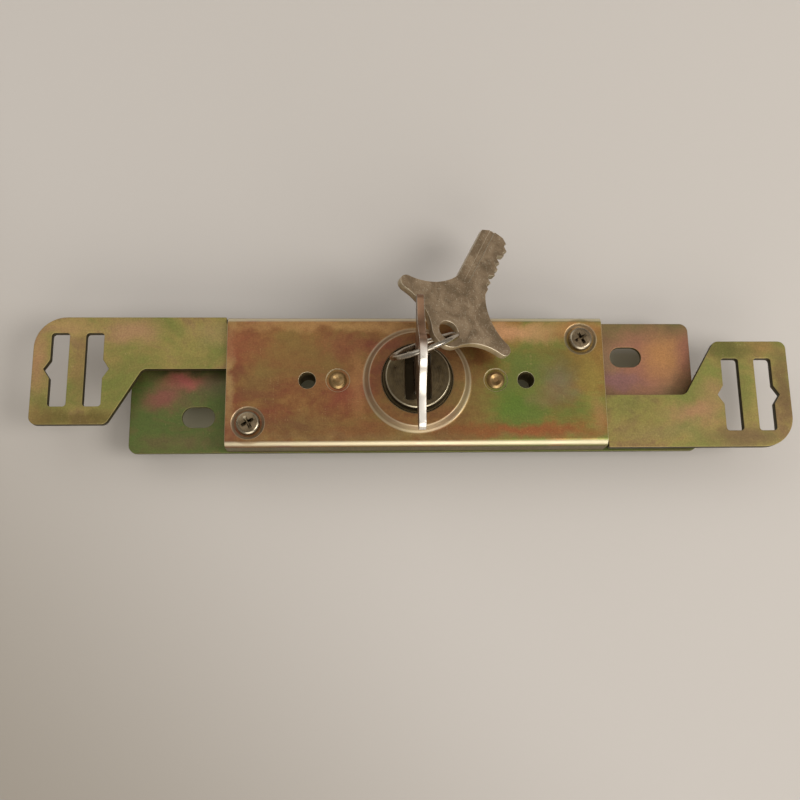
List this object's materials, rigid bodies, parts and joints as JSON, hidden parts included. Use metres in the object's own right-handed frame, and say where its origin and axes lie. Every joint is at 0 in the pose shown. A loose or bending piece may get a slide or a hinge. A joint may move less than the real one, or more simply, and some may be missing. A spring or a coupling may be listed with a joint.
{
  "type": "roller shutter lock",
  "caption": "Flat key-operated lock case whose turning plug drives two opposed slotted steel bars out of its ends; a second key hangs from the first on a ring.",
  "frame": {"origin": "on the axis of the lock cylinder, at the back face of the base plate", "axes": "+X along the bars, +Y across them, +Z out of the front face along the key"},
  "size_m": [0.1932, 0.0581, 0.0434],
  "materials": {
    "plated_steel_cover": "yellow zinc plating with a copper tint",
    "plated_steel_bar": "yellow zinc plating with a green tint",
    "plated_steel_dark": "yellow zinc plating",
    "machined_steel": "machined",
    "screw_steel": "bright nickel",
    "plug_metal": "nickel-plated, satin",
    "body_metal": "nickel-plated die casting",
    "brass": "turned",
    "key_nickel": "nickel-plated, worn satin",
    "pad_plastic": "matte"
  },
  "bodies": {
    "case": {"base_plate": "plated_steel_dark", "cover_plate": "plated_steel_cover", "cover_screws": "screw_steel", "screw_posts": "machined_steel", "guide_posts": "screw_steel", "fixing_bushes": "plated_steel_cover", "bar_pads": "pad_plastic", "cylinder_body": "body_metal", "body_rivets": "machined_steel", "front_collar": "plated_steel_cover", "stop_pin": "machined_steel", "back_cap": "body_metal", "driver_pins": "brass", "pin_springs": "machined_steel", "chamber_strip": "brass"},
    "plug": {"plug": "plug_metal", "drive_gear": "machined_steel", "gear_key": "machined_steel", "rear_clip": "machined_steel", "bottom_pins": "brass"},
    "left_bar": {"left_bar": "plated_steel_bar"},
    "right_bar": {"right_bar": "plated_steel_bar"},
    "key": {"key_in_lock": "key_nickel"},
    "ring": {"key_ring": "screw_steel"},
    "spare": {"spare_key": "key_nickel"}
  },
  "joints": [
    {"name": "plug_turn", "type": "hinge", "parent": "case", "child": "plug", "pos_m": [0, 0, 0], "axis": [0, 0, 1], "range_deg": [0, 90]},
    {"name": "left_bar_slide", "type": "slide", "parent": "case", "child": "left_bar", "axis": [-1, 0, 0], "range_m": [0, 0.01414]},
    {"name": "right_bar_slide", "type": "slide", "parent": "case", "child": "right_bar", "axis": [1, 0, 0], "range_m": [0, 0.01415]},
    {"name": "key_slide", "type": "slide", "parent": "plug", "child": "key", "axis": [0, 0, 1], "range_m": [0, 0.02]},
    {"name": "ring_swing", "type": "hinge", "parent": "key", "child": "ring", "pos_m": [0, 0.0009, 0.0308], "axis": [0, 0, 1], "range_deg": [-12, 0]},
    {"name": "spare_swing", "type": "hinge", "parent": "ring", "child": "spare", "pos_m": [0.00671, 0.00862, 0.02077], "axis": [-0.4052, -0.21, -0.8898], "range_deg": [0, 15]}
  ],
  "couplings": [
    {"joint": "plug_turn", "follows": "left_bar_slide", "rad_per_m": 111.11},
    {"joint": "right_bar_slide", "follows": "left_bar_slide", "ratio": 1}
  ]
}
